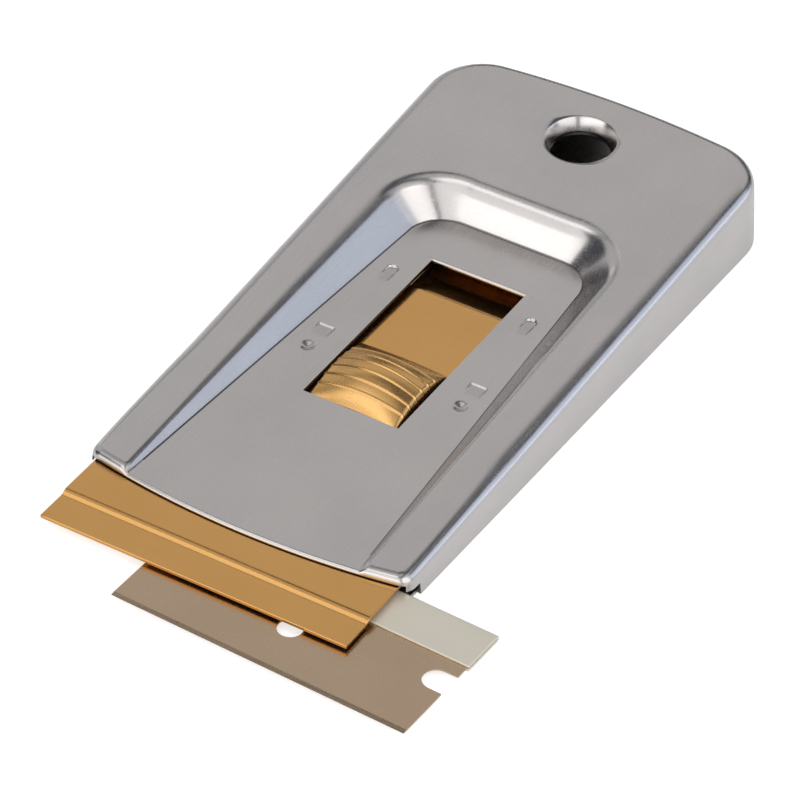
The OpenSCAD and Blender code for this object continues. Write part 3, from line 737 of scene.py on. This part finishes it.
def leaf_drop(y):
    """How far the leaf is pressed down: level, then a straight slope, then level, with soft bends.
    In a bend the drop grows with the square of the distance from where the bend starts."""
    u = (y - LEAF_Y) / LEAF_RUN
    first = np.clip(u + LEAF_SOFT, 0, 2 * LEAF_SOFT) ** 2 / (4 * LEAF_SOFT)
    last = np.clip(u - 1 + LEAF_SOFT, 0, 2 * LEAF_SOFT) ** 2 / (4 * LEAF_SOFT)
    return LEAF_H * (first + np.clip(u - LEAF_SOFT, 0, 1) - last - np.clip(u - 1 - LEAF_SOFT, 0, 1))


step = step_profile()
print("step from", np.round(step[0], 2), "to", np.round(step[-1], 2))

# %% [markdown]
# Seen from above the carrier is a wide head and a narrower tail. Two slots in the tail take the
# pressed stops, and two slits free the leaf. One grid has a line on each of these borders, and the
# cells outside the sheet are left out, which is quicker than cutting.

# %% Carrier grid
HEAD_REAR, TAIL_REAR, HEAD_HALF, TAIL_HALF = -35.5, 11.05, 20.6, 14.7
SLOT_IN, SLOT_OUT, SLOT_FRONT, SLOT_REAR = 8.2, 12.6, -28.4, 6.15
LEAF_HALF, LEAF_SLIT, NOSE, LEAF_HEAD_N, LEAF_FOOT_N = 6.8, 0.2, 0.4, 8, 6

leaf_y = np.unique(np.concatenate([
    [LEAF_Y, SLOT_REAR], LEAF_Y + LEAF_RUN * np.linspace(-LEAF_SOFT, LEAF_SOFT, LEAF_HEAD_N),
    LEAF_Y + LEAF_RUN * np.linspace(1 - LEAF_SOFT, 1 + LEAF_SOFT, LEAF_FOOT_N)]))
nose_y = np.array([CARRIER_FRONT, CARRIER_FRONT + NOSE])
flat_y = np.concatenate([[-47, -42, HEAD_REAR, SLOT_FRONT, -15], leaf_y, [TAIL_REAR]])
carrier_y = np.concatenate([nose_y, step[:, 0], flat_y])
carrier_z = np.concatenate([np.full(len(nose_y), CARRIER_TOP - STEP_H), step[:, 1],
                            np.full(len(flat_y), CARRIER_TOP)])
carrier_x = np.array([0, 4, LEAF_HALF, LEAF_HALF + LEAF_SLIT, SLOT_IN, SLOT_OUT, TAIL_HALF,
                      17.5, 19.9, HEAD_HALF])
grid_y, grid_x = np.meshgrid(carrier_y, carrier_x, indexing="ij")
carrier_top = np.stack([grid_x, grid_y, np.broadcast_to(carrier_z[:, None], grid_x.shape)], -1)
carrier_top[..., 2] -= leaf_drop(grid_y) * (grid_x <= LEAF_HALF)
carrier_low = carrier_top - np.array([0, 0, CARRIER_T])
mid_x = (grid_x[1:, 1:] + grid_x[:-1, :-1]) / 2
mid_y = (grid_y[1:, 1:] + grid_y[:-1, :-1]) / 2
in_slot = (mid_x > SLOT_IN) & (mid_x < SLOT_OUT) & (mid_y > SLOT_FRONT) & (mid_y < SLOT_REAR)
in_slit = (np.abs(mid_x - LEAF_HALF - LEAF_SLIT / 2) < LEAF_SLIT / 2) & (mid_y > LEAF_Y)
carrier_keep = ~in_slot & ~in_slit & ((mid_y < HEAD_REAR) | (mid_x < TAIL_HALF))
print("carrier grid", grid_x.shape, "cells kept:", int(carrier_keep.sum()))

# %% [markdown]
# Two small tabs bent down under the head push the blade; each is a little sheet of its own. Blanks
# are tumbled before they are plated, so no edge is quite sharp. A narrow Bevel modifier breaks the
# edges here, because it finds them all by their angle.

# %% Carrier
TAB_X, TAB_Y, TAB_LOW, TAB_MIDDLE = [12.0, 14.0, 16.0], -42.25, 0.55, 1.2
CARRIER_BREAK, SHARP = 0.07, 60


def break_edges(piece, width, segments):
    """A narrow round bevel on every edge where two faces meet at more than the sharp angle."""
    soft = piece.modifiers.new("broken edges", "BEVEL")
    soft.width, soft.segments = width * MM, segments
    soft.limit_method, soft.angle_limit = "ANGLE", math.radians(SHARP)


tab_x, tab_z = np.meshgrid(TAB_X, [TAB_LOW, TAB_MIDDLE, CARRIER_TOP - CARRIER_T], indexing="ij")
tab = np.stack([tab_x, np.full(tab_x.shape, TAB_Y), tab_z], -1)
half = [(carrier_top, carrier_low, carrier_keep), (tab, tab + np.array([0, CARRIER_T, 0]), None)]
carrier = sheet_piece("carrier", half + [mirrored(p) for p in half])
break_edges(carrier, CARRIER_BREAK, 2)
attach(carrier, "carrier")
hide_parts("blade_carrier")

# %% [markdown]
# ## The thumb button
# The button is a pressed cap that fills the window: an arch along its length, a round crown across it
# and six fine ridges for the thumb, with a narrow rolled border where it meets the carrier. It could
# be sculpted, but the ridges have an exact pitch. So its height is a function of the place: the arch
# times the crown, plus the ridges, all times the border.

# %% Button
BUTTON_FRONT, BUTTON_L, BUTTON_HALF, BUTTON_SUNK = -20.9, 12.2, 6.2, 0.05
CREST, BUTTON_EDGE, ARCH_POWER, CROWN_FALL = 3.0, 0.3, 0.8, 0.53
RIDGE_FIRST, RIDGE_PITCH, RIDGE_W, RIDGE_H, RIDGES = 2.1, 1.5, 0.22, 0.15, 6
END_ROUND, SIDE_ROUND, BUTTON_SMOOTH = 0.25, 0.6, 50
MIDDLE_FROM, MIDDLE_TO, MIDDLE_STEP, MIDDLE_HALF = 0.32, 11.9, 0.06, 5.55
QUARTER_N, ACROSS_N = 7, 38


def rolled_end(gap, r):
    """0 at a border and 1 from the rounding inwards, on a quarter circle."""
    return np.sqrt(1 - (1 - np.clip(gap / r, 0, 1)) ** 2)


def button_heights(x, y):
    """Height over the carrier at (x, y): a sine arch times a round crown, plus cosine ridges."""
    t = np.clip(y / BUTTON_L, 0, 1)
    arch = BUTTON_EDGE + (CREST - BUTTON_EDGE) * np.sin(np.pi * t).clip(0) ** ARCH_POWER
    crown = 1 - CROWN_FALL * (x / BUTTON_HALF) ** 2
    nearest = np.round(np.clip((y - RIDGE_FIRST) / RIDGE_PITCH, 0, RIDGES - 1))
    off = np.abs(y - RIDGE_FIRST - nearest * RIDGE_PITCH) / RIDGE_W
    ridge = RIDGE_H * (0.5 + 0.5 * np.cos(np.pi * np.clip(off, 0, 1)))
    border = rolled_end(BUTTON_HALF - np.abs(x), SIDE_ROUND) * rolled_end(y, END_ROUND)
    border = border * rolled_end(BUTTON_L - y, END_ROUND)
    return (arch * crown + ridge) * border


quarter = np.linspace(0, math.pi / 2, QUARTER_N)
button_y = np.concatenate([END_ROUND * (1 - np.cos(quarter)),
                           np.arange(MIDDLE_FROM, MIDDLE_TO, MIDDLE_STEP),
                           BUTTON_L - END_ROUND * (1 - np.sin(quarter))])
button_x = np.concatenate([np.linspace(0, MIDDLE_HALF, ACROSS_N),
                           BUTTON_HALF - SIDE_ROUND * (1 - np.sin(quarter))])
grid_y, grid_x = np.meshgrid(button_y, button_x, indexing="ij")
height = button_heights(grid_x, grid_y)
button_top = np.stack([grid_x, grid_y + BUTTON_FRONT, CARRIER_TOP + height], -1)
button_low = button_top.copy()
button_low[..., 2] = CARRIER_TOP - BUTTON_SUNK
button_patch = (button_top, button_low, None)
button = sheet_piece("button", [button_patch, mirrored(button_patch)], BUTTON_SMOOTH)
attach(button, "carrier")
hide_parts("thumb_button")
print("button stands", round(float(height.max()), 2), "mm over the carrier")

# %% [markdown]
# ## The blade's spine
# The back of a single-edge blade is stiffened by a strip folded round it. Its section is one path:
# along the underside, round the fold and back along the top. A curve with a bevel profile could be
# swept too, but the strip has to end square and hollow. So we offset the path by the strip's
# thickness and sweep both along the blade, which lies turned by two degrees.

# %% Spine
BLADE_X, BLADE_Y, BLADE_TURN = 13.0, -62.4, math.radians(-2.3)
BLADE_W, SPINE_W, SPINE_L, SPINE_T, SPINE_LOW = 19.2, 6.4, 39.9, 0.85, 0.45
STRIP_T, SPINE_BREAK = 0.31, 0.1
FLAT_N, FOLD_N, SWEEP_N = 4, 13, 25


def placed_blade(x, y, z):
    """Turns points of the blade's own frame, whose y is 0 at the cutting edge, to where it lies:
    a turn by the cosine and sine of the blade's angle, then a shift."""
    c, s = math.cos(BLADE_TURN), math.sin(BLADE_TURN)
    return np.stack([BLADE_X + c * x - s * y, BLADE_Y + s * x + c * y, z + 0 * x], -1)


def fold_path(inset):
    """Section of the folded strip: underside, half circle, top; inset moves it in by a thickness."""
    r = SPINE_T / 2 - inset
    mid_z, fold_y = SPINE_LOW + SPINE_T / 2, BLADE_W - SPINE_T / 2
    t = np.linspace(-math.pi / 2, math.pi / 2, FOLD_N)
    ys = np.linspace(BLADE_W - SPINE_W, fold_y, FLAT_N + 1)[:-1]
    y = np.concatenate([ys, fold_y + r * np.cos(t), ys[::-1]])
    z = np.concatenate([np.full(FLAT_N, mid_z - r), mid_z + r * np.sin(t),
                        np.full(FLAT_N, mid_z + r)])
    return y, z


def spine_grid(inset):
    """The section swept along the blade: one row of points for each place along its length."""
    y, z = fold_path(inset)
    x = np.linspace(-SPINE_L / 2, SPINE_L / 2, SWEEP_N)[:, None]
    return placed_blade(x + 0 * y, y + 0 * x, z + 0 * x)


spine = sheet_piece("spine", [(spine_grid(0.0), spine_grid(STRIP_T), None)])
break_edges(spine, SPINE_BREAK, 3)
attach(spine, "blade")
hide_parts("blade_spine")

# %% [markdown]
# ## Finishes
# All pieces are metal, so what they show is mostly the room around them, and the finish decides how
# blurred that is. Pictures of metal could be wrapped round the pieces, but they would bring the light
# of another room. So a finish here is a tree of nodes on Object coordinates, which are places on the
# piece itself. First come small helpers: they add a node, join two sockets and make a noise.

# %% Node helpers
NOISE_LOW, NOISE_HIGH = 0.3, 0.7


def link(tree, a, b):
    """Joins an output socket a to an input socket b."""
    tree.links.new(a, b)


def add(tree, kind, **values):
    """A new node; each value is set on the node or, failing that, on its socket of that name."""
    node = tree.nodes.new(kind)
    for key, value in values.items():
        if hasattr(node, key):
            setattr(node, key, value)
        else:
            node.inputs[key.replace("_", " ").title()].default_value = value
    return node


def noise(tree, where, stretch, scale, detail):
    """Noise over Object coordinates: each coordinate is multiplied by its stretch and by the scale."""
    mapping = add(tree, "ShaderNodeMapping")
    mapping.inputs["Scale"].default_value = stretch
    link(tree, where, mapping.inputs["Vector"])
    tex = add(tree, "ShaderNodeTexNoise", scale=scale, detail=detail)
    link(tree, mapping.outputs["Vector"], tex.inputs["Vector"])
    return tex.outputs["Fac"]


def spread(tree, value, low, high):
    """Maps the middle of a noise, where most of its values lie, to a range from low to high."""
    node = add(tree, "ShaderNodeMapRange")
    ends = {"From Min": NOISE_LOW, "From Max": NOISE_HIGH, "To Min": low, "To Max": high}
    for name, end in ends.items():
        node.inputs[name].default_value = end
    link(tree, value, node.inputs["Value"])
    return node.outputs["Result"]


def added(tree, a, b):
    """The sum of two values."""
    node = add(tree, "ShaderNodeMath", operation="ADD")
    link(tree, a, node.inputs[0])
    link(tree, b, node.inputs[1])
    return node.outputs[0]


print("noises are used from", NOISE_LOW, "to", NOISE_HIGH)

# %% [markdown]
# Rolled and plated sheet has fine lines along the rolling, a slow change of tint and a speckle. One
# function makes every finish from these three: a noise drawn out along one axis for the lines, a
# broad one for the tint and a fine one for the speckle. They drive colour, roughness and bump. Where
# the face attribute marks a sheared rim or the line at the recess's foot, the colour goes over to a
# darker one: this is painted shade.

# %% Metal
BROAD_SCALE, SPECK_SCALE, EVEN = 90, 5200, (1, 1, 1)
BROAD_SHARE, LINES_SHARE, SPECK_ROUGH, SPECK_HEIGHT = 0.6, 0.4, 0.03, 0.5
MIX_A, MIX_B, MIX_RESULT = 6, 7, 2


def metal(name, light, dark, rough, grain, bump, metallic=1.0, shade_share=1.0):
    """A rolled or plated metal: two tints, a roughness range, grain stretch along x, y and z, and the
    bump height in millimetres. The sum of broad noise and lines mixes dark and light; faces that the
    attribute marks go over to a share of the dark tint, as painted shade on sheared rims and the foot
    line."""
    mat = bpy.data.materials.new(name)
    mat.use_nodes = True
    tree = mat.node_tree
    shader = tree.nodes["Principled BSDF"]
    where = add(tree, "ShaderNodeTexCoord").outputs["Object"]
    broad = noise(tree, where, EVEN, BROAD_SCALE, 4)
    lines = noise(tree, where, grain, 1, 4)
    speck = noise(tree, where, EVEN, SPECK_SCALE, 2)
    tint = add(tree, "ShaderNodeMix", data_type="RGBA")
    tint.inputs[MIX_A].default_value = (*dark, 1)
    tint.inputs[MIX_B].default_value = (*light, 1)
    tint_by = added(tree, spread(tree, broad, 0.0, BROAD_SHARE), spread(tree, lines, 0.0, LINES_SHARE))
    link(tree, tint_by, tint.inputs[0])
    # Painted shade: faces marked by the attribute, sheared rims and the foot line, go over to the
    # darker colour.
    painted_shade = add(tree, "ShaderNodeAttribute", attribute_name=SHADE_ATTRIBUTE)
    sheared = add(tree, "ShaderNodeMix", data_type="RGBA")
    sheared.inputs[MIX_B].default_value = (*[shade_share * c for c in dark], 1)
    link(tree, painted_shade.outputs["Fac"], sheared.inputs[0])
    link(tree, tint.outputs[MIX_RESULT], sheared.inputs[MIX_A])
    link(tree, sheared.outputs[MIX_RESULT], shader.inputs["Base Color"])
    dull = added(tree, spread(tree, lines, *rough), spread(tree, speck, -SPECK_ROUGH, SPECK_ROUGH))
    link(tree, dull, shader.inputs["Roughness"])
    bumps = add(tree, "ShaderNodeBump")
    bumps.inputs["Strength"].default_value = 1.0
    bumps.inputs["Distance"].default_value = bump * MM
    link(tree, added(tree, lines, spread(tree, speck, 0.0, SPECK_HEIGHT)), bumps.inputs["Height"])
    link(tree, bumps.outputs["Normal"], shader.inputs["Normal"])
    shader.inputs["Metallic"].default_value = metallic
    return mat


def dress(piece, mat):
    """Gives a piece one material in place of all that it had."""
    piece.data.materials.clear()
    piece.data.materials.append(mat)


print("broad noise", BROAD_SCALE, "speckle", SPECK_SCALE, "to the metre")

# %% [markdown]
# The cover and the base are satin steel with lines along the tool. The carrier and the button are
# plated yellow, the button duller from the thumb. The spring is oiled, the blade is ground and the
# spine's strip is paler and only partly a mirror. Each could have a tree of its own, but with one
# function the differences can be read off a few lines. The base, spring, rivets and blade keep their
# CAD shapes and only get the finish.

# %% Finishes of this tool
FINE_Y = (2600, 160, 2600)
FINE_X = (160, 2600, 2600)

# The cover's rims and foot line go over to a quarter of its dark tint: painted shade.
satin = metal("satin_steel", (0.665, 0.63, 0.61), (0.585, 0.56, 0.545), (0.21, 0.26), FINE_Y, 0.0001,
              shade_share=0.25)
base = metal("base_steel", (0.62, 0.60, 0.58), (0.52, 0.51, 0.5), (0.28, 0.36), FINE_Y, 0.0002)
plated = metal("yellow_plating", (0.81, 0.45, 0.155), (0.76, 0.41, 0.135), (0.15, 0.19), FINE_X,
               0.0001)
cap = metal("button_plating", (0.84, 0.50, 0.19), (0.79, 0.45, 0.16), (0.26, 0.30), FINE_X, 0.0001)
oiled = metal("oiled_spring", (0.36, 0.37, 0.39), (0.24, 0.25, 0.28), (0.3, 0.42), FINE_Y, 0.0003)
ground = metal("ground_blade", (0.62, 0.46, 0.32), (0.56, 0.42, 0.28), (0.22, 0.28), FINE_X, 0.0002)
strip = metal("rolled_strip", (0.85, 0.79, 0.65), (0.79, 0.74, 0.62), (0.36, 0.44), FINE_X, 0.0004,
              metallic=0.35)

for piece, mat in ((cover, satin), (carrier, plated), (button, cap), (spine, strip)):
    dress(piece, mat)
for node, mat in (("bottom_plate", base), ("carrier_spring", oiled), ("spring_rivets", plated),
                  ("blade_plate", ground)):
    dress(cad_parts[node], mat)
print("finishes:", [m.name for m in bpy.data.materials if m.users])

# %% [markdown]
# ## The floor
# The tool lies on a white sweep, as in a product photograph. More light would make the floor white,
# but would bleach the tool as well. So the floor adds a glow of its own for the camera and a weaker
# one for reflections, and the soft shadow on it stays.

# %% Floor
FLOOR_HALF, FLOOR_Z, FLOOR_WHITE, FLOOR_DULL = 3000, -0.05, 0.88, 0.9
CAMERA_GLOW, MIRROR_GLOW = 0.62, 0.15


def plane(name, half_side, z):
    """A level square at a height: its corners are half a side out along x and y."""
    corners = half_side * np.array([[-1, -1], [1, -1], [1, 1], [-1, 1]], float)
    points = np.column_stack([corners, np.full(4, z)])
    mesh = bpy.data.meshes.new(name)
    mesh.from_pydata((points * MM).tolist(), [], [(0, 1, 2, 3)])
    obj = bpy.data.objects.new(name, mesh)
    bpy.context.scene.collection.objects.link(obj)
    return obj


floor = plane("floor", FLOOR_HALF, FLOOR_Z)
paper = bpy.data.materials.new("white_sweep")
paper.use_nodes = True
tree = paper.node_tree
shader = tree.nodes["Principled BSDF"]
shader.inputs["Base Color"].default_value = (FLOOR_WHITE, FLOOR_WHITE, FLOOR_WHITE, 1)
shader.inputs["Roughness"].default_value = FLOOR_DULL
path = add(tree, "ShaderNodeLightPath")
seen = add(tree, "ShaderNodeMath", operation="MULTIPLY")
seen.inputs[1].default_value = CAMERA_GLOW
link(tree, path.outputs["Is Camera Ray"], seen.inputs[0])
in_mirror = add(tree, "ShaderNodeMath", operation="MAXIMUM")
link(tree, path.outputs["Is Glossy Ray"], in_mirror.inputs[0])
link(tree, path.outputs["Is Transmission Ray"], in_mirror.inputs[1])
glow = add(tree, "ShaderNodeMath", operation="MULTIPLY_ADD")
glow.inputs[1].default_value = MIRROR_GLOW
link(tree, in_mirror.outputs[0], glow.inputs[0])
link(tree, seen.outputs[0], glow.inputs[2])
shader.inputs["Emission Color"].default_value = (1, 1, 1, 1)
link(tree, glow.outputs[0], shader.inputs["Emission Strength"])
dress(floor, paper)
print("floor", 2 * FLOOR_HALF, "mm wide, glow", CAMERA_GLOW, "for the camera")

# %% [markdown]
# ## The lights
# Metal is drawn by what it mirrors, so each light is a soft card where one of the surfaces looks. The
# cards behind and above are mirrored in the deck and the panel, those in front in the rear wall of
# the recess, and those at the right in the round edge along the side; the side wall mirrors the
# floor. One dome of light would be less work, but would give all these faces the same grey. A few
# cards are slightly blue or warm.

# %% Lights
WHITE, STEEP = (1, 1, 1), 0.75
# Each row: name, place, aim, width and height in millimetres, watts, tint.
LAMPS = [
    ("front_low", (-160, -900, 160), (-160, 0, 160), (1480, 280), 2.4, WHITE),
    ("front", (-160, -900, 990), (-160, 0, 990), (1480, 1380), 6.8, WHITE),
    ("overhead", (-375, -415, 1250), (-375, -415, 0), (1050, 450), 2.33, WHITE),
    ("overhead_rear", (-375, 55, 1250), (-375, 55, 0), (1050, 490), 0.85, WHITE),
    ("overhead_right", (810, -120, 1250), (810, -120, 0), (820, 1000), 1.79, WHITE),
    ("upper_right", (800, 590, 1250), (800, 590, 0), (640, 420), 0.36, WHITE),
    ("front_right", (855, -282, 600), (0, 0, 600), (967, 1160), 5.2, WHITE),
    ("right", (1067, 364, 665), (0, 0, 665), (394, 1030), 0.95, (0.94, 0.98, 1.06)),
    ("rear_left", (-142, 791, 690), (248, 151, 0), (1220, 640), 1.353, (1, 0.985, 0.97)),
    ("low_left", (-669, 602, 190), (0, 0, 190), (450, 360), 0.23, WHITE),
    ("left", (-865, 248, 449), (0, 0, 0), (600, 875), 0.83, WHITE),
    ("rear_right", (672, 606, 350), (0, 0, 0), (520, 484), 0.62, (0.86, 0.97, 1.18)),
    ("low_right", (663, 740, 130), (0, 0, 100), (700, 250), 0.4, (0.88, 0.97, 1.15)),
    ("rear_low", (-360, 880, 60), (0, 0, 60), (420, 120), 0.095, WHITE)]


def softbox(name, spot, aim, size, watts, tint):
    """A rectangular soft light at a spot. Its z points back from its aim, its x lies level, or along
    the tool's x where it looks straight down, and its y is square to both."""
    data = bpy.data.lights.new(name, "AREA")
    data.shape = "RECTANGLE"
    data.size, data.size_y = size[0] * MM, size[1] * MM
    data.energy = watts
    data.color = tint
    way = np.array(spot, float) - np.array(aim, float)
    back_z = way / np.linalg.norm(way)
    side = np.cross([0, 1, 0] if back_z[2] > STEEP else [0, 0, 1], back_z)
    side /= np.linalg.norm(side)
    stand(bpy.data.objects.new(name, data), side, np.cross(back_z, side), back_z, spot)


for lamp in LAMPS:
    softbox(*lamp)
print(len(LAMPS), "soft lights,", round(sum(lamp[4] for lamp in LAMPS), 1), "watts in all")

# %% [markdown]
# ## The room
# Between the cards the metal mirrors a dim room with a touch of blue. The Standard view shows colours
# as they are written; a film-like view would soften the bright edges, but would also grey the floor.

# %% Room
ROOM = (0.06, 0.065, 0.08, 1)

world = bpy.data.worlds.new("grey_room")
bpy.context.scene.world = world
world.use_nodes = True
world.node_tree.nodes["Background"].inputs["Color"].default_value = ROOM
world.node_tree.nodes["Background"].inputs["Strength"].default_value = 1.0
bpy.context.scene.view_settings.view_transform = "Standard"
print("room colour", ROOM[:3])
